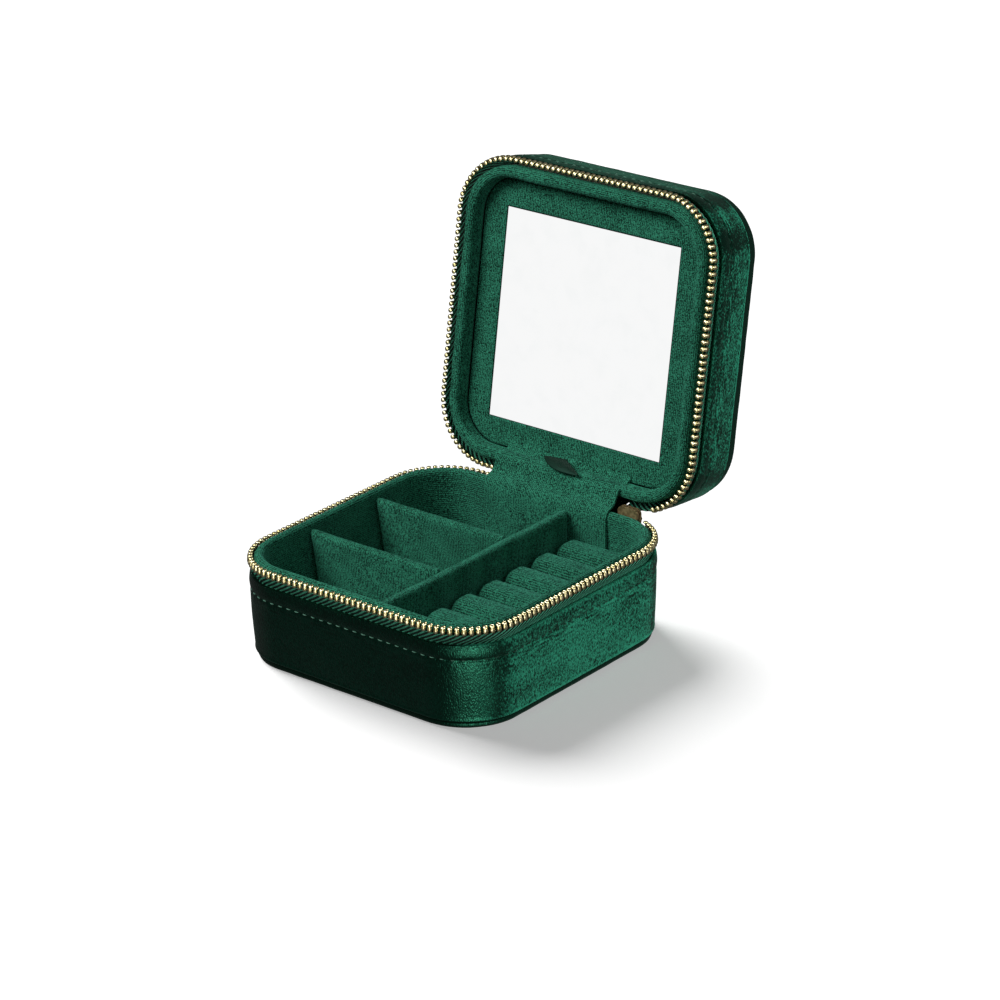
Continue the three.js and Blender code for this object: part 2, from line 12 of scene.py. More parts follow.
import bmesh
import bpy
import numpy as np
from mathutils import Matrix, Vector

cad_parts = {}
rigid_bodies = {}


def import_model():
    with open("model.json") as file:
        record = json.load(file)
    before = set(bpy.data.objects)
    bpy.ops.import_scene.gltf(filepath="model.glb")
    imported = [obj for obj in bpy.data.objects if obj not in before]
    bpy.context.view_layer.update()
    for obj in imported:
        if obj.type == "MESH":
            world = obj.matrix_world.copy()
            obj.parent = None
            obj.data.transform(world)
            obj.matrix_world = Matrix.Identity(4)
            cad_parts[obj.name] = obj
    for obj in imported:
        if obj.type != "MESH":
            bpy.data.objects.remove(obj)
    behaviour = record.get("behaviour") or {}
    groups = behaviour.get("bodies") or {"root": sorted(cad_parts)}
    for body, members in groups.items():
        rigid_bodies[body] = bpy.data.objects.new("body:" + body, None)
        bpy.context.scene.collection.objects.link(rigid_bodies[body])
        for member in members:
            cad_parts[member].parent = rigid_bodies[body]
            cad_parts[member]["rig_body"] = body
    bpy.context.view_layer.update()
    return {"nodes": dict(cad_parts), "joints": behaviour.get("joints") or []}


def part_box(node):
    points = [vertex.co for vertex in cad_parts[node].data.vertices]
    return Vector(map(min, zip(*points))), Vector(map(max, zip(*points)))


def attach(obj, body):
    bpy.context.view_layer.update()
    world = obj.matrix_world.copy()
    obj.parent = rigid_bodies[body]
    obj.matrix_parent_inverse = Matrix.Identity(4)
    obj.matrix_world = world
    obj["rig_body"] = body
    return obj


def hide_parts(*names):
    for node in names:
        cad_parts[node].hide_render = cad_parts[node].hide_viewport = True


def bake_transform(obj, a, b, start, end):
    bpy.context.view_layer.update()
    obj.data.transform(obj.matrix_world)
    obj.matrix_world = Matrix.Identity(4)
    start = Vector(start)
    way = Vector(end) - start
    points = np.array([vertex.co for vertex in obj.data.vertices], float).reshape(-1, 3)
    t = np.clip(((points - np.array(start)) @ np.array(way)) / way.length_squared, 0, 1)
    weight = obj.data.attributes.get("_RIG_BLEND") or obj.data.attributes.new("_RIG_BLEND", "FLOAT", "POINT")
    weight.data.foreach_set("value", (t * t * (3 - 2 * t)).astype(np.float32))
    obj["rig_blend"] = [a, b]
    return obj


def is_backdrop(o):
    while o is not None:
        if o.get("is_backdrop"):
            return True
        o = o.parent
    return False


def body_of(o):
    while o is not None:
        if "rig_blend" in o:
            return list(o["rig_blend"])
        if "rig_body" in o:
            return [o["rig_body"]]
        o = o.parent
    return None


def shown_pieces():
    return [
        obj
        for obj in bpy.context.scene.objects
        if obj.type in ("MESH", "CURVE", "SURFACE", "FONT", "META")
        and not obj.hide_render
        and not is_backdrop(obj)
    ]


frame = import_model()
scene = bpy.context.scene
print("nodes in the frame:", len(frame["nodes"]))

# %% [markdown]
# ## Sizes
# Everything is worked out in millimetres and turned into metres when a mesh is made. The heights
# and widths come from the frame. The lid is worked out shut, because its parts are then mirror
# images of the base's parts, and it is opened at the end by turning it about the hinge line.

# %% Sizes from the frame
MM = 0.001


def span(node):
    """Lowest and highest corner of a CAD node, in millimetres."""
    low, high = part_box(node)
    return np.array(low) / MM, np.array(high) / MM


hinge = next(j for j in frame["joints"] if j["name"] == "lid_hinge")
HINGE_Y, PARTING = hinge["pos_m"][1] / MM, hinge["pos_m"][2] / MM
LID_OPEN = math.radians(hinge["range_deg"][1])
CASE_HALF = span("base_wall_cover")[1][0]
COVER_FOOT, COVER_TOP = span("base_wall_cover")[0][2], span("base_wall_cover")[1][2]
CASE_HEIGHT = 59.0
FOOT_HALF = 49.3
CORNER = 30.0
LID_COVER_FOOT = 12.2
CHAIN_FOOT = span("base_zip_teeth")[0][2]
CHAIN_TOP = span("base_zip_teeth")[1][2]
LINER_HALF = 45.3
print("case half", round(CASE_HALF, 2), "parting height", round(PARTING, 2))

# %% [markdown]
# ## The path round the case
# Every wall, tape and roll follows the same rounded square. Its corner centres never move, so one
# path serves them all: a place on it has a centre point and an outward direction, and a piece that
# lies further out only walks further along that direction.

# %% Path helpers
ARC = math.pi / 2 * (CASE_HALF - CORNER)
QUARTER = 2 * CORNER + ARC
LOOP = 4 * QUARTER
INNERMOST = 31.0


def station(s):
    """Centre point and outward normal, s mm along the loop from the middle of the back, going
    left. Each quarter is a straight run of two corner distances and then a quarter turn."""
    s = np.mod(s + CORNER, LOOP)
    side = np.floor(s / QUARTER)
    run = s - side * QUARTER
    turn = np.clip((run - 2 * CORNER) / (CASE_HALF - CORNER), 0, None)
    slide = np.minimum(run, 2 * CORNER) - CORNER
    a = math.pi / 2 * (1 + side)
    centre = np.stack([CORNER * np.cos(a) - slide * np.sin(a), CORNER * np.sin(a) + slide * np.cos(a)], -1)
    return centre, np.stack([np.cos(a + turn), np.sin(a + turn)], -1)


def around(s, half, z, lid=False):
    """Points at s along the loop and z up: centre + normal x (half - corner distance). Nearer the
    middle than the innermost loop, that loop is scaled down to a point. For the lid the points
    are mirrored about the parting height and opened."""
    s, half, z = np.broadcast_arrays(s, half, z)
    centre, normal = station(s)
    reach = np.maximum(half, INNERMOST) - CORNER
    xy = (centre + normal * reach[..., None]) * np.minimum(half / INNERMOST, 1)[..., None]
    points = np.concatenate([xy, z[..., None]], -1)
    return opened(points * [1, 1, -1] + [0, 0, 2 * PARTING]) if lid else points


def loop(count):
    """Stations evenly spaced round the whole loop, as a column."""
    return (np.arange(count) * LOOP / count)[:, None]


def opened(points):
    """Turns points of the shut lid about the hinge line by the angle it stands open."""
    y, z = points[..., 1] - HINGE_Y, points[..., 2] - PARTING
    c, s = math.cos(LID_OPEN), math.sin(LID_OPEN)
    return np.stack([points[..., 0], HINGE_Y + y * c + z * s, PARTING - y * s + z * c], -1)


def walked(line):
    """The length walked along a line, at each of its points."""
    return np.concatenate([[0], np.cumsum(np.linalg.norm(np.diff(line, axis=0), axis=1))])


def sideways(line):
    """Unit vectors across a plane line: its direction turned a quarter to the right."""
    d = np.gradient(line, axis=0)
    return np.stack([d[:, 1], -d[:, 0]], -1) / np.linalg.norm(d, axis=1)[:, None]


def rounded(corners, radius, count, closed=False):
    """Straight runs between the corners, each corner cut by a parabola that starts one radius
    before it, sampled at count even steps of length."""
    p = np.array(corners, float)
    before, after = np.roll(p, 1, 0), np.roll(p, -1, 0)
    if not closed:
        before[0], after[-1] = p[0], p[-1]
    reach = np.broadcast_to(np.asarray(radius, float), len(p))[:, None]

    def toward(q):
        length = np.linalg.norm(q - p, axis=1)[:, None]
        return p + (q - p) * np.minimum(reach / np.maximum(length, 1e-9), 0.5)

    a, b = toward(before)[:, None], toward(after)[:, None]
    t = np.linspace(0, 1, 9)[None, :, None]
    run = ((1 - t) ** 2 * a + 2 * t * (1 - t) * p[:, None] + t**2 * b).reshape(-1, p.shape[1])
    if closed:
        run = np.concatenate([run, run[:1]])
    length = walked(run)
    at = np.linspace(0, length[-1], count, endpoint=not closed)
    return np.stack([np.interp(at, length, run[:, k]) for k in range(p.shape[1])], -1)


def thickened(line, thickness):
    """A closed section round an open line of (half, z): the line moved out by half the thickness,
    then the line moved in by as much, backwards."""
    side = sideways(line)
    return np.concatenate([line + side * thickness / 2, (line - side * thickness / 2)[::-1]])


def waves(seed, *coordinates):
    """Smooth unevenness between about -1 and 1: a sum of twelve sine waves whose directions and
    starts come from the seed."""
    rng = np.random.default_rng(seed)
    total = 0
    for _ in range(12):
        direction = rng.normal(size=len(coordinates))
        total = total + np.sin(sum(d * c for d, c in zip(direction, coordinates)) + rng.uniform(0, 6.28))
    return total / 4


def bump_at(x, centre, width):
    """A bell curve of height 1."""
    return np.exp(-(((x - centre) / width) ** 2))


# %% [markdown]
# ## From a grid to a mesh
# A surface is an array of points with two directions. Neighbours make quads, and either direction
# may close on itself. The UV map holds the lengths along both directions in metres, so a material
# can draw ribs that are really 0.7 mm apart.

# %% Mesh helper
def skin(name, grid, material, wrap_u=False, wrap_v=False, caps=False, marks=None):
    """Joins a grid of points (or several grids of one shape) into a smooth mesh. UV is the mean
    length walked along each direction. A closed mesh that comes out inside out is turned."""
    grids = grid[None] if grid.ndim == 3 else grid
    copies, nu, nv = grids.shape[:3]
    i, j = np.meshgrid(np.arange(nu - (not wrap_u)), np.arange(nv - (not wrap_v)), indexing="ij")
    around_quad = ((0, 0), (1, 0), (1, 1), (0, 1))
    quads = np.stack([((i + a) % nu) * nv + (j + b) % nv for a, b in around_quad], -1).reshape(-1, 4)
    full = np.concatenate([grids[0], grids[0][:1]]) if wrap_u else grids[0]
    full = np.concatenate([full, full[:, :1]], 1) if wrap_v else full
    u = np.concatenate([[0], np.cumsum(np.linalg.norm(np.diff(full, axis=0), axis=2).mean(1))]) * MM
    v = np.concatenate([[0], np.cumsum(np.linalg.norm(np.diff(full, axis=1), axis=2).mean(0))]) * MM
    lengths = np.stack(np.meshgrid(u, v, indexing="ij"), -1)
    uv = np.stack([lengths[a:len(u) - 1 + a, b:len(v) - 1 + b] for a, b in around_quad], 2).reshape(-1, 2)
    shift = (np.arange(copies) * nu * nv)[:, None, None]
    faces = (quads[None] + shift).reshape(-1, 4).tolist()
    walled = len(faces)
    uv = np.tile(uv, (copies, 1))
    if caps:
        first, last = np.arange(nv), (nu - 1) * nv + np.arange(nv)[::-1]
        faces += (np.stack([first, last])[None] + shift).reshape(-1, nv).tolist()
        uv = np.concatenate([uv, np.zeros((2 * copies * nv, 2))])
    mesh = bpy.data.meshes.new(name)
    mesh.from_pydata((grids.reshape(-1, 3) * MM).tolist(), [], faces)
    mesh.uv_layers.new(name="lengths").data.foreach_set("uv", uv.astype(np.float32).ravel())
    for mark, values in (marks or {}).items():
        spread = np.broadcast_to(values, (copies, nu, nv)).astype(np.float32)
        mesh.attributes.new(mark, "FLOAT", "POINT").data.foreach_set("value", spread.ravel())
    smooth = np.arange(len(faces)) < walled
    mesh.polygons.foreach_set("use_smooth", smooth)
    mesh.update()
    piece = bpy.data.objects.new(name, mesh)
    scene.collection.objects.link(piece)
    weld(mesh, closed=wrap_v and (wrap_u or caps))
    mesh.materials.append(material)
    print(f"{name}: {len(mesh.polygons)} faces")
    return piece


def weld(mesh, closed):
    """Merges points that share a place, as at a pole, and turns a closed mesh outside out."""
    build = bmesh.new()
    build.from_mesh(mesh)
    bmesh.ops.remove_doubles(build, verts=build.verts, dist=1e-7)
    bmesh.ops.dissolve_degenerate(build, edges=build.edges, dist=1e-8)
    if closed and build.calc_volume(signed=True) < 0:
        bmesh.ops.reverse_faces(build, faces=build.faces)
    build.to_mesh(mesh)
    build.free()


def settle(piece, body, slot, *nodes):
    """The piece rides on a body and stands for CAD nodes, which it hides. The slot is not used."""
    if body:
        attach(piece, body)
    if nodes:
        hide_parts(*nodes)
    return piece


# %% [markdown]
# ## Writing materials as sums
# A shader is a sum of small steps. The class below wraps one output of a node, so that Python's
# own signs add the Math nodes, and every other node comes from one method that sets its settings
# first and then its sockets.

# %% Shader helper
class Signal:
    """One output socket of a material. Signs and the named methods add nodes."""

    def __init__(self, finish, socket):
        self.finish, self.socket = finish, socket

    def math(self, operation, *others):
        values = dict(enumerate((self, *others)))
        return self.finish.node("ShaderNodeMath", {"operation": operation}, values)

    def __add__(self, other):
        return self.math("ADD", other)

    def __mul__(self, other):
        return self.math("MULTIPLY", other)

    def __sub__(self, other):
        return self.math("SUBTRACT", other)

    def __rsub__(self, other):
        return (self * -1) + other

    __radd__, __rmul__ = __add__, __mul__

    def sine(self):
        return self.math("SINE")

    def between(self, low, high):
        """0 at low and below, 1 at high and above, with a soft step between."""
        values = {"Value": self, "From Min": low, "From Max": high}
        return self.finish.node("ShaderNodeMapRange", {"interpolation_type": "SMOOTHSTEP"}, values)


class Finish:
    """A material with a Principled shader. set() gives its sockets numbers, colours or signals."""

    def __init__(self, name):
        self.material = bpy.data.materials.new(name)
        self.material.use_nodes = True
        self.tree = self.material.node_tree
        self.shader = self.tree.nodes["Principled BSDF"]

    def put(self, socket, value):
        if isinstance(value, Signal):
            self.tree.links.new(value.socket, socket)
        else:
            socket.default_value = value

    def node(self, kind, settings=(), values=(), output=0):
        made = self.tree.nodes.new(kind)
        for key, value in dict(settings).items():
            setattr(made, key, value)
        for key, value in dict(values).items():
            self.put(made.inputs[key], value)
        return Signal(self, made.outputs[output])

    def set(self, values):
        for key, value in values.items():
            self.put(self.shader.inputs[key], value)

    def place(self):
        return self.node("ShaderNodeTexCoord", output="Object")

    def lengths(self):
        """The two lengths of the piece's UV map, in metres, and the map itself."""
        uv = self.node("ShaderNodeUVMap", {"uv_map": "lengths"})
        return uv, self.part(uv, "X"), self.part(uv, "Y")

    def part(self, vector, axis):
        return self.node("ShaderNodeSeparateXYZ", {}, {0: vector}, output=axis)

    def noise(self, vector, size, detail=3.0, stretch=(1, 1, 1)):
        """Noise whose lumps are about size mm, longer along an axis by the stretch."""
        scale = [1 / (size * MM * k) for k in stretch]
        spread = self.node("ShaderNodeMapping", {}, {"Vector": vector, "Scale": scale})
        return self.node("ShaderNodeTexNoise", {}, {"Vector": spread, "Scale": 1.0, "Detail": detail})

    def blend(self, factor, a, b):
        """Colour a where the factor is 0 and colour b where it is 1."""
        values = {0: factor, 6: a, 7: b}
        return self.node("ShaderNodeMix", {"data_type": "RGBA"}, values, output=2)

    def bump(self, height, distance, strength=1.0):
        """Height 1 stands distance mm proud."""
        values = {"Height": height, "Distance": distance * MM, "Strength": strength}
        return self.node("ShaderNodeBump", {}, values)

    def mark(self, name):
        """A number that the mesh carries at each point."""
        return self.node("ShaderNodeAttribute", {"attribute_name": name}, output="Fac")


def shade(red, green, blue):
    """A colour as a paint chart gives it, 0 to 255, turned into light."""
    c = np.array([red, green, blue]) / 255
    light = np.where(c <= 0.04045, c / 12.92, ((c + 0.055) / 1.055) ** 2.4)
    return (*light.tolist(), 1.0)


# %% [markdown]
# ## Velvet for the outside
# Velvet is a forest of short threads. It is nearly black where one looks straight into the pile and pale
# where the pile is crushed or catches light from the side. A number painted on each cover sets how pale the
# velvet is. It holds real streaks and soft patches of laid pile, and also painted light: painted shade on
# the hem, in the needle holes along the seam and either side of each corner, a painted highlight at the
# middle of each corner and along the foot's fold, and painted shade over the whole lid cover and on the
# panels' edges. Sheen gives the rim of light, and a green specular with a rough bump gives single threads
# their glints.

# %% Outer velvet
def outer_velvet(name, deep, pale):
    """Velvet whose colour runs from deep to pale with the painted number (the lie of the pile, with painted
    shade and painted highlights) + patches, a few mm wide, + tufts + single threads."""
    f = Finish(name)
    place = f.place()
    # The mark holds the lie of the pile and also painted shade and painted highlights.
    nap_and_painted_light = f.mark("nap_and_painted_light")
    patches = f.noise(place, 6.0, 3.0)
    tufts = f.noise(place, 1.0, 1.0)
    threads = f.noise(place, 0.36, 1.0, (1, 1, 2.0))
    lay = nap_and_painted_light + (patches - 0.5) * 0.4 + (tufts - 0.5) * 1.1 + (threads - 0.5) * 2.6
    f.set({
        "Base Color": f.blend(lay.between(-0.15, 1.1), deep, pale),
        "Roughness": lay.between(0.0, 1.2) * -0.08 + 0.4,
        "Specular IOR Level": 0.5,
        "Specular Tint": shade(100, 235, 185),
        "Sheen Weight": 0.08,
        "Sheen Roughness": 0.4,
        "Sheen Tint": shade(70, 190, 145),
        "Normal": f.bump(threads, 0.17),
    })
    return f.material


wall_velvet = outer_velvet("outer_velvet_green", shade(2, 16, 10), shade(37, 120, 94))

# %% [markdown]
# ## Ribbed velour for the inside
# The lining is a short velour with fine ribs. On walls and rolls the ribs follow the rim, and on the
# dividers they stand up. The ribs are real in the mesh and are drawn again here, with painted shade in the
# valleys, a painted highlight on the crests and a speckle of pile that breaks them up.

# %% Inner velour
RIB = 0.68


def inner_velour(name, axis="X", rib=RIB, deep=shade(5, 40, 28), pale=shade(54, 140, 111)):
    """Velour with ribs across the named UV axis, or across the case where the axis is X."""
    f = Finish(name)
    place = f.place()
    speckle = f.noise(place, 0.38, 0.0)
    clouds = f.noise(place, 7.0, 2.0)
    if axis == "X":
        run, ribbed = f.part(place, "X"), 0.6
    else:
        _, u, v = f.lengths()
        run, ribbed = u if axis == "U" else v, 0.7
    # The rib stripes are painted shade in the valleys and a painted highlight on the crests.
    crest = (run * (2 * math.pi / (rib * MM)) + (speckle - 0.5) * 2.0).sine() * 0.5 + 0.5
    lay = (crest - 0.5) * ribbed + (speckle - 0.5) * 2.9 + (clouds - 0.5) * 0.7 + 0.5
    f.set({
        "Base Color": f.blend(lay.between(-0.15, 1.15), deep, pale),
        "Roughness": 0.95 - speckle * 0.1,
        "Specular IOR Level": 0.12,
        "Sheen Weight": 0.42,
        "Sheen Roughness": 0.42,
        "Sheen Tint": shade(105, 212, 182),
        "Normal": f.bump(crest * 0.35 + speckle * 0.9, 0.3),
    })
    return f.material


velour_v = inner_velour("inner_velour_along_rim", "V")
velour_u = inner_velour("inner_velour_upright", "U")
velour_plain = inner_velour("inner_velour_nap")

# %% [markdown]
# ## Tape, metal, mirror, satin, card and thread
# The zip's tape is a twill whose light bars slope. The teeth are plated brass: a metal whose
# colour darkens where polish doesn't reach. The mirror is a metal with no roughness, so it shows
# the studio, and a trace of dust is all that varies. Satin is smooth with a fine cross weave.

# %% Other finishes
BAR_PITCH = 2.12
BAR_SLOPE = 1.39


def tape_finish():
    """Twill: sloping light bars, frayed by the weave, over fine cross threads."""
    f = Finish("zip_tape_twill")
    uv, u, v = f.lengths()
    weave = f.noise(uv, 0.25, 2.0)
    slope = (u + v * -BAR_SLOPE) * (2 * math.pi / (BAR_PITCH * MM))
    bars = (slope + (weave - 0.5) * 1.2).sine() * 0.5 + 0.5
    fine = (v * (2 * math.pi / (0.42 * MM))).sine() * 0.5 + 0.5
    light = bars.between(0.45, 0.85) * (weave * 0.6 + 0.6)
    f.set({
        "Base Color": f.blend(light, shade(5, 22, 15), shade(60, 132, 106)),
        "Roughness": 0.8 - weave * 0.15,
        "Specular IOR Level": 0.1,
        "Normal": f.bump(bars * 0.7 + fine * 0.15 + weave * 0.2, 0.15),
    })
    return f.material


def gold_finish(name, rough, worn, bright):
    f = Finish(name)
    place = f.place()
    smear = f.noise(place, 0.9, 3.0)
    grain = f.noise(place, 0.12, 2.0)
    f.set({
        "Base Color": f.blend(smear.between(0.3, 0.7), worn, bright),
        "Metallic": 1.0,
        "Roughness": smear * 0.16 + rough,
        "Normal": f.bump(grain, 0.01),
    })
    return f.material


def mirror_finish():
    f = Finish("mirror_silvered")
    dust = f.noise(f.place(), 6.0, 4.0)
    f.set({
        "Base Color": f.blend(dust.between(0.4, 0.8), (0.965, 0.97, 0.97, 1), (0.94, 0.95, 0.95, 1)),
        "Metallic": 1.0,
        "Roughness": 0.0,
    })
    return f.material


def satin_finish():
    f = Finish("ribbon_satin")
    uv, u, v = f.lengths()
    weft = f.noise(uv, 0.12, 1.0, (12, 1, 1))
    f.set({
        "Base Color": f.blend(weft, shade(2, 17, 11), shade(6, 36, 24)),
        "Roughness": weft * 0.2 + 0.4,
        "Specular IOR Level": 0.25,
        "Specular Tint": shade(150, 235, 205),
        "Normal": f.bump(weft, 0.02),
    })
    return f.material


def card_finish():
    f = Finish("board_grey_card")
    fibres = f.noise(f.place(), 1.2, 5.0, (3, 1, 1))
    f.set({
        "Base Color": f.blend(fibres, shade(112, 106, 96), shade(160, 152, 138)),
        "Roughness": fibres * 0.1 + 0.85,
        "Normal": f.bump(fibres, 0.05),
    })
    return f.material


def thread_finish():
    f = Finish("stitch_thread")
    _, u, v = f.lengths()
    ply = ((u + v * 0.8) * (2 * math.pi / (0.32 * MM))).sine() * 0.5 + 0.5
    f.set({
        "Base Color": f.blend(ply, shade(24, 78, 58), shade(88, 156, 128)),
        "Roughness": 0.6 - ply * 0.15,
        "Sheen Weight": 0.3,
        "Normal": f.bump(ply, 0.04),
    })
    return f.material


tape_twill, mirror = tape_finish(), mirror_finish()
gold = gold_finish("gold_metal_plated", 0.24, shade(180, 166, 110), shade(230, 221, 180))
slider_gold = gold_finish("gold_metal_brushed", 0.4, shade(140, 120, 86), shade(178, 157, 117))
satin, card, thread = satin_finish(), card_finish(), thread_finish()
print("finishes:", len(bpy.data.materials))

# %% [markdown]
# ## Wall covers
# A cover is a band of velvet stretched round the stiff wall. It swells a little at mid height, is turned
# over in a rounded hem under the zip, and a lockstitch below the hem pulls it into a groove with small
# puckers. The lid's cover is the same band, less deep, mirrored and painted darker all over as shade.

# %% Wall covers
STITCH_PITCH = 3.3
STITCH_DROP = 4.8
SEAM = COVER_TOP - STITCH_DROP
COVER_INSIDE = 48.6
# Painted shade over the whole lid cover.
LID_PAINTED_SHADE = 0.24


def cover_half(z, foot):
    """The plain outside of a cover: from its foot a straight draft out to its top, with a swell
    of a sine arch between them."""
    share = np.clip((z - foot) / (COVER_TOP - foot), 0, 1)
    return FOOT_HALF + (CASE_HALF - FOOT_HALF) * share + 0.3 * np.sin(np.pi * share)


def cover_relief(s, z, foot):
    """Outward relief of the velvet: a groove at the stitches that is deepest at each stitch,
    the hem's bulge above it, puckers below it, a fold at the foot, and soft waves."""
    stitch = np.cos(2 * np.pi * s / STITCH_PITCH)
    groove = -0.32 * bump_at(z, SEAM, 0.6) * (0.62 + 0.38 * stitch)
    hem = 0.26 * np.sin(np.pi * np.clip((z - SEAM) / STITCH_DROP, 0, 1))
    puckers = 0.07 * bump_at(z, SEAM - 1.6, 1.6) * waves(3, s * 1.5, z * 0.7)
    fold = 0.16 * bump_at(z, foot + 0.45, 0.4)
    soft = 0.08 * waves(5, s * 0.22, z * 0.2) + 0.012 * waves(6, s * 0.9, z * 1.2)
    return groove + hem + puckers + fold + soft


def nap_and_painted_light_of(s, z, foot):
    """How pale the velvet is, as the lie of the pile plus painted light: 0.5 on the whole; painted shade in
    the needle holes between the stitches, on the hem and either side of a corner's middle; a painted
    highlight at that middle and on the foot's fold; real streaks of laid pile below the seam and soft
    patches."""
    _, normal = station(s)
    corner = np.abs(normal[..., 0] * normal[..., 1]) * 2
    streaks = bump_at(z, SEAM - 2.2, 2.4) * waves(8, s * 0.5, z * 2.6)
    # Painted shade on the hem under the zip.
    hem = 0.28 * (z > SEAM) * np.sin(np.pi * np.clip((z - SEAM) / STITCH_DROP, 0, 1))
    # Painted shade in the needle holes between the stitches.
    between = bump_at(z, SEAM, 0.5) * (0.5 + 0.5 * np.cos(2 * np.pi * s / STITCH_PITCH + np.pi))
    # Painted highlight at the middle of each corner, painted shade either side of it.
    corners = 0.25 * bump_at(corner, 1.0, 0.1) - 0.5 * bump_at(corner, 0.72, 0.24)
    # Painted highlight along the fold at the foot.
    fold = 0.6 * bump_at(z, foot + 0.35, 0.35)
    return 0.5 + 0.34 * streaks - 0.55 * between - hem + corners + fold + 0.14 * waves(9, s * 0.16, z * 0.3)


def wall_cover(name, foot, lid):
    """A closed section (outside with relief, hem, plain inside) carried round the loop."""
    z = foot + (COVER_TOP - foot) * (1 - np.cos(np.linspace(0.12, np.pi - 0.12, 96))) / 2
    edge = np.array([[CASE_HALF - 0.12, COVER_TOP - 0.05], [CASE_HALF - 0.4, COVER_TOP + 0.1]])
    inside = np.array([
        [COVER_INSIDE + 0.5, COVER_TOP], [COVER_INSIDE, COVER_TOP - 0.6], [COVER_INSIDE, foot + 0.3],
    ])
    foot_turn = np.array([[COVER_INSIDE + 0.3, foot], [FOOT_HALF - 0.2, foot]])
    s = loop(640)
    outside = cover_half(z, foot) + cover_relief(s, z, foot)
    rest = np.concatenate([edge, inside, foot_turn])
    half = np.concatenate([outside, np.broadcast_to(rest[:, 0], (len(s), len(rest)))], 1)
    height = np.concatenate([z, rest[:, 1]])
    # The lid's cover gets painted shade all over.
    marks = nap_and_painted_light_of(s, height, foot) - (LID_PAINTED_SHADE if lid else 0)
    points = around(s, half, height, lid)
    return skin(name, points, wall_velvet, wrap_u=True, wrap_v=True, marks={"nap_and_painted_light": marks})


base_cover = wall_cover("base_velvet_wall", COVER_FOOT, lid=False)
settle(base_cover, "base", "outer_velvet", "base_wall_cover")
lid_cover = wall_cover("lid_velvet_wall", LID_COVER_FOOT, lid=True)
settle(lid_cover, "lid", "outer_velvet", "lid_wall_cover")

# %% [markdown]
# ## Stitches
# The lockstitch shows as short dashes of thread that dive into the cloth at both ends. Each is a
# small bent capsule with six sides, and numpy copies it along the seam.

# %% Stitches
def stitches(name, foot, lid):
    """Each dash is a tube whose centre follows an arch: sunk at both ends, proud in the middle,
    and whose radius falls to a third at the ends."""
    count = int(LOOP / STITCH_PITCH)
    pitch = LOOP / count
    t = np.linspace(-1, 1, 7)
    turn = np.arange(6) * np.pi / 3
    radius = 0.17 * np.sqrt(1 - 0.88 * t**2)
    s = (np.arange(count) * pitch)[:, None, None] + (t * 1.02)[None, :, None] + 0 * turn
    middle = cover_half(SEAM, foot) - 0.34 + 0.34 * (1 - t**2)
    half = middle[None, :, None] + radius[None, :, None] * np.cos(turn)
    z = SEAM + radius[None, :, None] * np.sin(turn) + 0.05 * waves(12, s * 2)
    points = around(s, half, z, lid)
    return skin(name, points, thread, wrap_v=True, caps=True)


settle(stitches("base_stitches", COVER_FOOT, lid=False), "base", "outer_velvet")
settle(stitches("lid_stitches", LID_COVER_FOOT, lid=True), "lid", "outer_velvet")

# %% [markdown]
# ## Bottom and top panels
# Each panel is a board wrapped in velvet, with a soft rounded edge that is painted dark as shade. The
# section starts and ends on the middle line, so the loop closes to a point there and no hole is left.

# %% Panels
EDGE_TURN = [0, 0.8, 0.3, 0]
# Painted shade on the panels' edges.
EDGE_PAINTED_SHADE = -0.9


def slab(name, low, high, half, material, edge, lid=False, count=320):
    """A section from the middle out along the bottom, round the edge and back along the top. The painted
    number is soft waves on the faces and falls to a painted shade on the edge."""
    section = rounded([[0, low], [half, low], [half, high], [0, high]], edge, 150)
    s = loop(count)
    rough = 0.04 * waves(21, s * 0.5, section[:, 0] * 0.4)
    points = around(s, section[:, 0] + rough * (section[:, 0] > half - 1), section[:, 1] + 0 * s, lid)
    face = np.clip((half - 0.6 - section[:, 0]) / 2.5, 0, 1)
    patches = waves(22, points[..., 0] * 0.12, points[..., 1] * 0.1, points[..., 2] * 0.1)
    nap_and_painted_light = face * (0.5 + 0.16 * patches) + EDGE_PAINTED_SHADE * (1 - face)
    return skin(name, points, material, wrap_u=True, marks={"nap_and_painted_light": nap_and_painted_light})


panel_low, panel_high = span("base_bottom_panel")
PANEL_HALF = panel_high[0]
bottom = slab("base_velvet_bottom", panel_low[2], panel_high[2], PANEL_HALF, wall_velvet, EDGE_TURN)
settle(bottom, "base", "outer_velvet", "base_bottom_panel")
lid_face, lid_edge = 2 * PARTING - CASE_HEIGHT, LID_COVER_FOOT + 0.4
lid_top = slab("lid_velvet_top", lid_face, lid_edge, PANEL_HALF, wall_velvet, EDGE_TURN, lid=True)
settle(lid_top, "lid", "outer_velvet", "lid_top_panel")

# %% [markdown]
# ## Zip tape and teeth
# The tape is a thin woven band that leaves the hem and flares out to the teeth. Its bars are
# raised a tenth of a millimetre. It runs on past the last tooth to the hinge, as a real tape does.

# %% Tape
ZIP_START = 26.0
ZIP_END = LOOP - CORNER - math.asin(4 / (CASE_HALF - CORNER)) * (CASE_HALF - CORNER)
TAPE = 0.45


def zip_tape(name, lid):
    """A thin section that flares outwards, carried from one end of the zip to the other, with
    sloping bars raised on its outside by a squared sine."""
    line = rounded([[47.95, 24.2], [47.95, 27.2], [49.55, 29.3], [49.95, 30.85]], 1.2, 30)
    section = thickened(line, TAPE)
    s = np.linspace(ZIP_START, LOOP - ZIP_START, 1500)[:, None]
    outer = np.arange(len(section)) < len(line)
    phase = (s - section[:, 1] * BAR_SLOPE) * np.pi / BAR_PITCH
    half = section[:, 0] + 0.09 * np.sin(phase) ** 2 * outer
    points = around(s, half, section[:, 1], lid)
    return skin(name, points, tape_twill, wrap_v=True, caps=True)


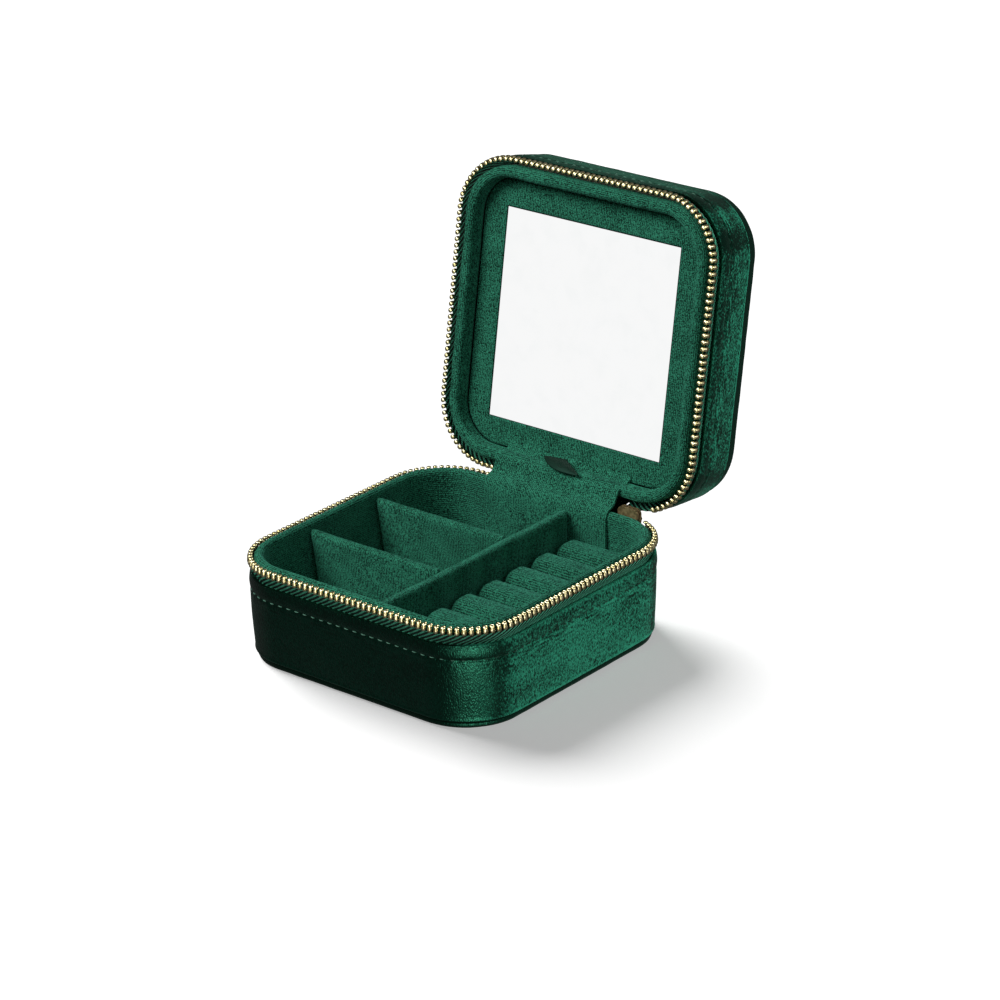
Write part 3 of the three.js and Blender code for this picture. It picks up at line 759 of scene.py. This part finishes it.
tapes = [
    settle(zip_tape("base_tape", lid=False), "base", "zip_tape", "base_zip_tape"),
    settle(zip_tape("lid_tape", lid=True), "lid", "zip_tape", "lid_zip_tape"),
]

# %% [markdown]
# ### Teeth
# A tooth is a bar with a round bead on top: a small tube with eight sides whose width changes with
# height. One tooth is worked out, and numpy copies it to every place along the zip.

# %% Teeth
TOOTH_PITCH = 2.12
CHAIN_HALF = 50.0


def zip_teeth(name, lid):
    """Rows of share of the height, half width, half depth and lean: rounded foot, waist, bead and
    a domed top. Each row's eight points lie on an ellipse of that width and depth."""
    rows = np.array([
        [0.00, 0.46, 0.40, 0.10], [0.05, 0.74, 0.60, 0.10], [0.32, 0.78, 0.64, 0.10],
        [0.52, 0.70, 0.64, 0.02], [0.64, 0.60, 0.74, -0.14], [0.76, 0.80, 0.86, -0.34],
        [0.88, 0.78, 0.78, -0.46], [0.96, 0.52, 0.54, -0.52], [1.00, 0.22, 0.24, -0.52],
    ])
    count = int((ZIP_END - ZIP_START - 1.6) / TOOTH_PITCH)
    turn = (np.arange(8) + 0.5) * np.pi / 4
    place = ZIP_START + 1.0 + np.arange(count) * TOOTH_PITCH
    s = place[:, None, None] + rows[:, 1][:, None] * np.cos(turn)
    half = CHAIN_HALF + rows[:, 3][:, None] + rows[:, 2][:, None] * np.sin(turn) + 0 * s
    z = CHAIN_FOOT + (CHAIN_TOP - CHAIN_FOOT) * rows[:, 0][:, None] + 0 * s
    points = around(s, half, z, lid)
    return skin(name, points, gold, wrap_v=True, caps=True)


settle(zip_teeth("base_teeth", lid=False), "base", "gold_metal", "base_zip_teeth")
settle(zip_teeth("lid_teeth", lid=True), "lid", "gold_metal", "lid_zip_teeth")

# %% [markdown]
# ## Lined wall and padded rim
# The lining climbs the inside of the wall, rolls over a soft pad and tucks in behind the teeth.
# One closed section makes it. The ribs run with the rim, so they are a sine of the length along
# the section, and a fine random fuzz roughens the crest as pile does.

# %% Base lining
def ribs(section, pitch, height):
    """Relief along the section's own normal: a sine of the length walked along the section."""
    return sideways(section) * (height * np.sin(2 * np.pi * walked(section) / pitch))[:, None]


def fuzz(seed, shape, height):
    """Random pile: a normal draw at each point, smoothed once with its neighbours."""
    raw = np.random.default_rng(seed).normal(size=shape)
    raw = (raw + np.roll(raw, 1, 0) + np.roll(raw, -1, 0)) / 3
    return height * raw


liner_low, liner_high = span("base_wall_liner")


def base_lining():
    """A section up the back of the lining, over the rim and down its face. Ribs, fuzz and waves
    are added where it shows."""
    foot, top = liner_low[2], liner_high[2]
    section = rounded(
        [
            [46.0, foot], [46.0, 29.3], [48.3, 30.4], [48.6, top - 0.7], [46.9, top + 0.5],
            [45.15, top - 0.5], [LINER_HALF, 28.6], [LINER_HALF, foot],
        ],
        [0.3, 1.0, 1.2, 1.2, 1.6, 1.6, 2.0, 0.3], 150, closed=True,
    )
    s = loop(600)
    shown = (section[:, 0] < 45.9) | (section[:, 1] > 31.0)
    ribbed = section + ribs(section, RIB, 0.05) * shown[:, None]
    wave = 0.12 * waves(31, s * 0.22, section[:, 1] * 0.35) * (section[:, 1] < 30)
    crest = fuzz(32, (600, 150), 0.055) * shown
    points = around(s, ribbed[:, 0] + wave + crest, ribbed[:, 1] + crest * (section[:, 1] > 31))
    return skin("base_lining_wall", points, velour_v, wrap_u=True, wrap_v=True)


lining = settle(base_lining(), "base", "inner_velvet", "base_wall_liner")

floor_low, floor_high = span("base_floor_liner")
floor_lining = slab(
    "base_lining_floor", floor_low[2], floor_high[2], floor_high[0], velour_plain, edge=0.5, count=240,
)
settle(floor_lining, "base", "inner_velvet", "base_floor_liner")

# %% [markdown]
# ## Dividers
# A divider is a card padded with foam and covered in velour: its top is round, its sides swell
# slightly, and the ribs stand upright. The section is carried along the divider, and the ribs are
# a sine of the distance along it. The free end of a cross divider slopes away from the wall, which
# leaves the dark wedge one sees there.

# %% Dividers
def divider(name, node, along, slope):
    """along is 0 for a divider along X and 1 for one along Y. Section: straight sides with a
    swell, and a half round top. The first end recedes by slope mm from top to foot."""
    low, high = span(node)
    across = 1 - along
    middle, half = (low[across] + high[across]) / 2, (high[across] - low[across]) / 2
    foot, top = low[2], high[2]
    section = rounded(
        [
            [-half + 0.2, foot], [half - 0.2, foot], [half, foot + 10],
            [half, top], [-half, top], [-half, foot + 10],
        ],
        [0.4, 0.4, 4, half, half, 4], 84, closed=True,
    )
    steps = int((high[along] - low[along]) / RIB * 5)
    t = np.linspace(0, 1, steps)[:, None]
    start = low[along] + slope * ((top - section[:, 1]) / (top - foot)) ** 0.8
    run = start + (high[along] - start) * t
    ends = np.minimum(run - start, high[along] - run)
    round_off = 1 - 0.45 * np.clip(1 - ends / 1.2, 0, 1) ** 2
    crest = section[:, 1] > top - 3
    pile = 0.05 * np.sin(2 * np.pi * run / RIB) + fuzz(41, (steps, 84), 0.05) * (0.6 + crest)
    sag = 0.16 * waves(42, run * 0.13, section[:, 1] * 0.05)
    lift = fuzz(43, (steps, 84), 0.09) * (section[:, 1] > top - 1.2)
    side = section[:, 0] * round_off + np.sign(section[:, 0]) * pile + sag
    height = section[:, 1] + lift + 0.12 * waves(44, run * 0.3) * crest
    points = np.stack([run, middle + side, height] if along == 0 else [middle + side, run, height], -1)
    return settle(skin(name, points, velour_u, wrap_v=True, caps=True), "base", "inner_velvet", node)


for divider_name, divider_node, divider_along, divider_slope in (
    ("divider_padded_long", "divider_long", 1, 0.0),
    ("divider_padded_front", "divider_cross_front", 0, 4.2),
    ("divider_padded_back", "divider_cross_back", 0, 4.2),
):
    divider(divider_name, divider_node, divider_along, divider_slope)

# %% [markdown]
# ## Ring rolls
# Seven soft foam rolls stand side by side, and a ring is pushed into the slit between two. Each
# roll is an arch in section, with both ends rounded like a bolster. The two outermost rolls end
# on the corner's arc, which is why the right end is worked out for each point.

# %% Ring rolls
ROLL_END = 3.2
ROLL_RIB = 0.8
BED_CORNER = 14.7
# A slightly darker copy of the velour with coarser ribs: the darkening is painted shade.
velour_rolls_painted_shade = inner_velour("inner_velour_rolls_painted_shade", "V", ROLL_RIB, shade(5, 38, 27), shade(51, 134, 106))


def ring_roll(index):
    """Section: an ellipse arch on straight sides. The ends shrink along a quarter circle."""
    node = f"ring_roll_{index}"
    low, high = span(node)
    middle, half = (low[1] + high[1]) / 2, (high[1] - low[1]) / 2 + 0.1
    foot, top = low[2], high[2]
    section = rounded(
        [
            [-half + 0.3, foot], [half - 0.3, foot], [half, top - 6], [half * 0.62, top - 0.2],
            [0, top + 0.25], [-half * 0.62, top - 0.2], [-half, top - 6],
        ],
        [0.5, 0.5, 4, 2.6, 2.5, 2.6, 4], 120, closed=True,
    )
    y = middle + section[:, 0]
    beyond = np.clip(np.abs(y) - CORNER, 0, BED_CORNER - 0.3)
    right = CORNER + np.sqrt(BED_CORNER**2 - beyond**2) - 0.1
    t = np.linspace(0, 1, 110)[:, None]
    x = low[0] + (right - low[0]) * t
    near = np.minimum(x - low[0], right - x)
    dome = np.sqrt(np.clip(1 - np.clip(1 - near / ROLL_END, 0, 1) ** 2, 0.02, 1))
    pile = 0.05 * np.sin(2 * np.pi * walked(section) / ROLL_RIB) + fuzz(50 + index, (110, 120), 0.05)
    swell = 1 + 0.012 * waves(60 + index, x * 0.2, section[:, 1] * 0.2)
    side = section[:, 0] * (0.45 + 0.55 * dome) * swell + np.sign(section[:, 0]) * pile
    height = foot + (section[:, 1] - foot) * (0.55 + 0.45 * dome) + pile * (section[:, 1] > top - 5)
    points = np.stack([x, middle + side, height], -1)
    roll = skin(f"ring_roll_padded_{index}", points, velour_rolls_painted_shade, wrap_v=True, caps=True)
    return settle(roll, "base", "inner_velvet", node)


for roll_index in range(1, 8):
    ring_roll(roll_index)

# %% [markdown]
# ## Lid: padded roll, mirror panel and ribbon
# The mouth of the lid has a padded roll of the same ribbed velour. The mirror panel behind it is a
# board with a square window. A loop of satin ribbon at its lower edge lifts it out. The roll is a
# section carried round the loop, as the base's rim is.

# %% Lid roll
def lid_roll():
    """A section like a running track, with ribs and fuzz, carried round the whole loop."""
    low, high, radius, mid = 26.8, 33.0, 1.95, 45.45
    section = rounded(
        [[mid - radius, low], [mid + radius, low], [mid + radius, high], [mid - radius, high]],
        radius * 0.98, 130, closed=True,
    )
    s = loop(560)
    ribbed = section + ribs(section, RIB, 0.05)
    rough = fuzz(71, (560, 130), 0.05) + 0.07 * waves(72, s * 0.25, section[:, 1] * 0.3)
    side = np.sign(section[:, 0] - mid)
    points = around(s, ribbed[:, 0] + rough * side, ribbed[:, 1] + rough * 0.6, lid=True)
    return skin("lid_padded_roll", points, velour_v, wrap_u=True, wrap_v=True)


settle(lid_roll(), "lid", "inner_velvet", "lid_rim_roll")

# %% [markdown]
# ### The mirror panel
# A frame with a square hole and a rounded outline could be cut with a boolean, but that leaves
# long thin faces. Here a grid runs from the square to the outline along rays from the middle, so
# every face is a neat quad.

# %% Mirror panel
WINDOW_HALF, WINDOW_Y = 34.3, 0.5
BOARD_HALF, BOARD_FACE, BOARD_BACK = 43.35, 39.3, 42.3


def mirror_board():
    """Rows from the window's edge to the outline at share t, on the face, then back at full
    depth. Corners of the window fall on stations because the loop has a multiple of 8."""
    s = loop(480)
    outline = around(s, BOARD_HALF, 0.0)[..., :2] - [0, WINDOW_Y]
    window = outline / np.max(np.abs(outline), -1)[..., None] * WINDOW_HALF
    depth = BOARD_BACK - BOARD_FACE
    rim = [0.965, 0.99, 1.0, 1.0, 0.97, 0.0]
    share = np.concatenate([[0.0, 0.0, 0.012], np.linspace(0.04, 0.93, 44), rim])
    drop = np.concatenate([[depth, 0.35, 0.06], np.zeros(44), [0.05, 0.2, 0.5, depth - 0.6, depth, depth]])
    xy = window + (outline - window) * share[:, None] + [0, WINDOW_Y]
    face = (share > 0.03) & (share < 0.95) & (drop < 0.05)
    nap_and_painted_light = (fuzz(81, (480, len(share)), 0.02) + 0.05 * waves(82, xy[..., 0] * 0.2, xy[..., 1] * 0.2)) * face
    points = np.concatenate([xy, (BOARD_FACE + drop + nap_and_painted_light)[..., None]], -1)
    return skin("mirror_panel_velour", opened(points), velour_plain, wrap_u=True, wrap_v=True)


settle(mirror_board(), "lid", "inner_velvet", "mirror_panel")

# %% [markdown]
# ### The ribbon
# What shows of the ribbon is the belly of a folded loop. Both its ends are gathered and tucked
# under the hinge strip, so the loop shrinks to a point there. Its flat size is the width times the
# length walked round the loop, and its area is less than that rectangle by the taper.

# %% Ribbon
RIBBON_LEFT, RIBBON_WIDE = -7.3, 16.2


def ribbon_loop():
    """A loop in section (front layer, then back inside it) that shrinks towards a point at both
    ends: its upper part as a triangle of the width, its lower part as a skewed sine. The line of
    the points runs slantwise down the valley between the panel and the hinge strip."""
    line = rounded(
        [[42.8, 37.9], [42.2, 37.3], [43.5, 34.7], [45.5, 33.3], [45.3, 33.9], [44.0, 36.0], [43.1, 37.7]],
        [0, 0.5, 1.3, 0.4, 0.4, 1.0, 0], 64,
    )
    middle = np.array([44.1, 35.3])
    u = np.linspace(0.01, 0.99, 60)[:, None]
    upper = np.minimum(2 * u, 2 * (1 - u)) ** 0.8
    lower = np.sin(np.pi * u**0.75)
    weight = np.clip((line[:, 0] - line[:, 0].min()) / np.ptp(line[:, 0]), 0, 1)
    size = upper * (1 - weight) + lower * weight
    crease = 0.35 * np.exp(-(((u - 0.5) / 0.05) ** 2)) * (weight < 0.6)
    y = 41.6 + 2.1 * u + (line[:, 0] - middle[0]) * size
    z = 35.4 - 3.2 * u + (line[:, 1] - middle[1]) * size + crease
    x = RIBBON_LEFT + RIBBON_WIDE * u + 0 * line[:, 0]
    return skin("ribbon_satin_loop", opened(np.stack([x, y, z], -1)), satin), line


ribbon, ribbon_line = ribbon_loop()
ribbon_solid = ribbon.modifiers.new("thickness", "SOLIDIFY")
ribbon_solid.thickness, ribbon_solid.offset = 0.22 * MM, 0
settle(ribbon, "lid", "ribbon", "ribbon_tab")

# %% [markdown]
# ## Hinge
# Two strips of velour cross the hinge: the spine outside and a wider strip inside, which is taut
# when the lid stands open. Both bend with the lid, so they are sheets that follow the base before
# the hinge line and the lid after it.

# %% Hinge strips
def hinge_path(base_part, lid_part):
    """(y, z) corners on the base, then corners of the shut lid turned with it."""
    shut = np.array([[0, y, z] for y, z in lid_part])
    return np.concatenate([np.array(base_part, float), opened(shut)[:, 1:]])


def hinge_sheet(name, node, corners, radius, half, middle, thickness, material, seed):
    """The path repeated across the width, with a slight sag and fuzz, then given a thickness."""
    line = rounded(corners, radius, 120)
    x = np.linspace(-half, half, 150)[:, None]
    side, length = -sideways(line), walked(line)[-1]
    sag = 0.12 * waves(seed, x * 0.25, np.linspace(0, length, 120) * 0.35)
    off = sag + fuzz(seed + 1, (150, 120), 0.02)
    y, z = line[:, 0] + side[:, 0] * off, line[:, 1] + side[:, 1] * off
    points = np.stack([middle + x + 0 * y, y, z], -1)
    piece = skin(name, points, material, marks={"nap_and_painted_light": 0.25})
    solid = piece.modifiers.new("thickness", "SOLIDIFY")
    solid.thickness, solid.offset = thickness * MM, 0
    settle(piece, None, "inner_velvet" if material is velour_plain else "outer_velvet", node)
    return piece


STRIP_HALF, SPINE_HALF = 24.4, 25.5
strip_corners = hinge_path(
    base_part=[[44.65, 14], [44.65, 24], [44.55, 31], [46, 33.95], [49.2, 34.6]],
    lid_part=[[45.6, 33.0], [44.6, 34.2], [43.9, 37.4], [42.6, 39.0], [41.2, 39.62]],
)
strip_turns = [0, 2, 2.2, 2.2, 2.2, 2.2, 1.6, 1.6, 1.4, 0]
strip = hinge_sheet(
    "hinge_strip_velour", "hinge_strip", strip_corners, strip_turns,
    half=STRIP_HALF, middle=0.0, thickness=0.5, material=velour_plain, seed=91,
)
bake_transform(strip, "base", "lid", start=(0, 0.0480, 0.0336), end=(0, 0.0509, 0.0380))

spine_corners = hinge_path(
    base_part=[[48.03, 24], [48.03, 27.5], [49.8, 31.2], [50.6, 33.0]],
    lid_part=[[49.7, 36.2], [48.03, 39.5], [48.03, 43]],
)
spine = hinge_sheet(
    "hinge_spine_velvet", "hinge_spine", spine_corners, 1.5,
    half=SPINE_HALF, middle=-0.2, thickness=0.45, material=wall_velvet, seed=95,
)
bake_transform(spine, "base", "lid", start=(0, 0.0500, 0.0318), end=(0, 0.0512, 0.0352))

# %% [markdown]
# ## Pieces that keep their CAD shape
# The slider, its pull and the mirror glass already have the right shape. The slider and its pull get a weld
# and a small bevel where metal would be rounded. Boards and hidden linings only need their finish.

# %% CAD nodes kept
def keep(node, material, bevel=0.0):
    piece = frame["nodes"][node]
    piece.data.materials.clear()
    piece.data.materials.append(material)
    if bevel:
        piece.modifiers.new("weld", "WELD").merge_threshold = 0.01 * MM
        round_edges = piece.modifiers.new("bevel", "BEVEL")
        round_edges.width, round_edges.segments = bevel * MM, 3
        round_edges.limit_method, round_edges.angle_limit = "ANGLE", math.radians(35)
    return piece


for node, material, bevel in (
    ("zip_slider", slider_gold, 0.16), ("zip_pull", slider_gold, 0.2), ("mirror_glass", mirror, 0.0),
    ("base_wall_board", card, 0.0), ("lid_wall_board", card, 0.0), ("ring_bed_card", card, 0.0),
    ("lid_wall_liner", velour_plain, 0.0), ("lid_ceiling_liner", velour_plain, 0.0),
):
    keep(node, material, bevel)

# %% [markdown]
# ## Floor, lights and camera
# The case stands on a white floor, which glows a little so that it stays white.

# %% Stage
def floor():
    mesh = bpy.data.meshes.new("floor")
    size = 6.0
    corners = [(-size, -size, 0), (size, -size, 0), (size, size, 0), (-size, size, 0)]
    mesh.from_pydata(corners, [], [(0, 1, 2, 3)])
    piece = bpy.data.objects.new("floor", mesh)
    scene.collection.objects.link(piece)
    f = Finish("floor_paper")
    grain = f.noise(f.place(), 2.0, 3.0)
    f.set({
        "Base Color": f.blend(grain, (0.8, 0.8, 0.8, 1), (0.82, 0.82, 0.82, 1)),
        "Roughness": 0.9,
        "Specular IOR Level": 0.0,
        "Emission Color": (1, 1, 1, 1),
        "Emission Strength": 0.4,
    })
    mesh.materials.append(f.material)
    piece.visible_diffuse = piece.visible_glossy = False
    piece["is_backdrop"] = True
    return piece


AMBIENT = 0.03
GLOSS_DIM = 0.08
MIRROR_WHITE = 0.965


def backdrop():
    """The world: white to the camera and to a perfect mirror, dim to everything else. Strength =
    ambient + camera share + glossy share + mirror share."""
    world = bpy.data.worlds.new("studio")
    scene.world = world
    world.use_nodes = True
    tree = world.node_tree

    def add(kind, values, **settings):
        node = tree.nodes.new(kind)
        for key, value in settings.items():
            setattr(node, key, value)
        for key, value in values.items():
            if isinstance(value, bpy.types.NodeSocket):
                tree.links.new(value, node.inputs[key])
            else:
                node.inputs[key].default_value = value
        return node.outputs

    path = tree.nodes.new("ShaderNodeLightPath").outputs
    total = AMBIENT
    for ray, strength in (
        ("Is Camera Ray", 1 - AMBIENT), ("Is Glossy Ray", GLOSS_DIM),
        ("Is Singular Ray", MIRROR_WHITE - AMBIENT - GLOSS_DIM),
    ):
        share = add("ShaderNodeMath", {0: path[ray], 1: strength}, operation="MULTIPLY")[0]
        total = add("ShaderNodeMath", {0: share, 1: total}, operation="ADD")[0]
    tree.links.new(total, tree.nodes["Background"].inputs["Strength"])
    tree.nodes["Background"].inputs["Color"].default_value = (1, 1, 1, 1)


floor_paper = floor()
backdrop()

# %% [markdown]
# ### Lamps
# One sun from the left draws the soft shadow. A large soft lamp above lights the lining, and the
# same light reaches the lid's top without its gloss. A lamp behind on the right grazes the outer
# velvet, a low narrow one gives the near corner its glints, and three more make the metal sparkle.
# Each lamp has a list of pieces that it lights, so it keeps to its job.

# %% Lamps
def group(name, *objects):
    made = bpy.data.collections.new(name)
    for o in objects:
        made.objects.link(o)
    return made


def lamp(
    name, azimuth, elevation, distance, size, watts, receivers=None, blockers=None, kind="AREA", only=None,
):
    """A lamp that looks at the case. Azimuth 0 is in front and 90 on the right. A sun's size is
    the angle it covers and its watts are per square metre. A lamp may be only diffuse or gloss."""
    light = bpy.data.lights.new(name, kind)
    light.energy = watts
    if kind == "SUN":
        light.angle = size
    else:
        light.shape, light.size = "SQUARE", size
    piece = bpy.data.objects.new(name, light)
    scene.collection.objects.link(piece)
    a, e = math.radians(azimuth), math.radians(elevation)
    away = np.array([math.sin(a) * math.cos(e), -math.cos(a) * math.cos(e), math.sin(e)])
    aim = np.array([0, 0.02, 0.04])
    piece.location = (aim + away * distance).tolist()
    piece.rotation_euler = (math.radians(90) - e, 0, a)
    if receivers:
        piece.light_linking.receiver_collection = receivers
    if blockers:
        piece.light_linking.blocker_collection = blockers
    piece.visible_camera = False
    piece.visible_glossy = only != "diffuse"
    piece.visible_diffuse = only != "gloss"
    return piece


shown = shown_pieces()
outer_pieces = [base_cover, lid_cover, *tapes, spine, bottom, lid_top]
outside = group("outside", *outer_pieces)
inside = group("inside", *[o for o in shown if o not in outer_pieces or o in tapes])
metal = group("metal", *[o for o in shown if o.data.materials[0] in (gold, slider_gold)])
metal_and_tape = group("metal_and_tape", *metal.objects, *tapes)
only_floor = group("only_floor", floor_paper)
only_lid_top = group("only_lid_top", lid_top)
base_blocks = group("base_blocks", *[o for o in shown if body_of(o) == ["base"]])
lamp("floor_lamp", -100, 36, 1.0, math.radians(40), 4.9, only_floor, base_blocks, "SUN")
lamp("top_lamp", -34, 45, 1.2, 0.65, 13, inside)
lamp("fill_lamp", 60, 30, 1.2, 0.6, 2, inside, only="diffuse")
lamp("lid_top_lamp", -34, 45, 1.2, 0.65, 13, only_lid_top, only="diffuse")
lamp("right_lamp", 135, 12, 1.3, 0.4, 27, outside, only="diffuse")
lamp("glint_lamp", 48, -14, 1.5, 0.1, 17, outside, outside, only="gloss")
lamp("back_lamp", -135, 10, 1.4, 0.5, 9, outside, only="diffuse")
lamp("metal_front_lamp", 10, 35, 0.9, 0.5, 6, metal)
lamp("metal_right_lamp", 100, 30, 0.9, 0.4, 5, metal)
lamp("low_lamp", 25, 0, 0.9, 0.5, 3, metal_and_tape, metal)
print("pieces lit:", len(shown))

# %% [markdown]
# ### Camera
# A camera of long focal length looks down at the case over its near corner. Its matrix is built
# from three axes: back, level to the right, and up.

# %% Camera
AZIMUTH, ELEVATION, ROLL = 39.87, 23.06, -1.31
DISTANCE, TARGET, FOCAL = 1194.5, np.array([-14.31, 39.98, 30.0]), 3.7814


def camera():
    """Looks at the target, in mm, from the azimuth and elevation, turned by the roll about its axis."""
    a, e, r = (math.radians(x) for x in (AZIMUTH, ELEVATION, ROLL))
    back = np.array([math.sin(a) * math.cos(e), -math.cos(a) * math.cos(e), math.sin(e)])
    right = np.array([math.cos(a), math.sin(a), 0])
    up = np.cross(back, right)
    view = bpy.data.cameras.new("camera")
    view.lens = FOCAL * view.sensor_width
    view.clip_start, view.clip_end = 0.1, 20
    piece = bpy.data.objects.new("camera", view)
    scene.collection.objects.link(piece)
    matrix = np.eye(4)
    matrix[:3, 0] = right * math.cos(r) + up * math.sin(r)
    matrix[:3, 1] = -right * math.sin(r) + up * math.cos(r)
    matrix[:3, 2] = back
    matrix[:3, 3] = (TARGET + back * DISTANCE) * MM
    piece.matrix_world = Matrix(matrix.tolist())
    return piece


scene.camera = camera()
scene.view_settings.view_transform = "Standard"
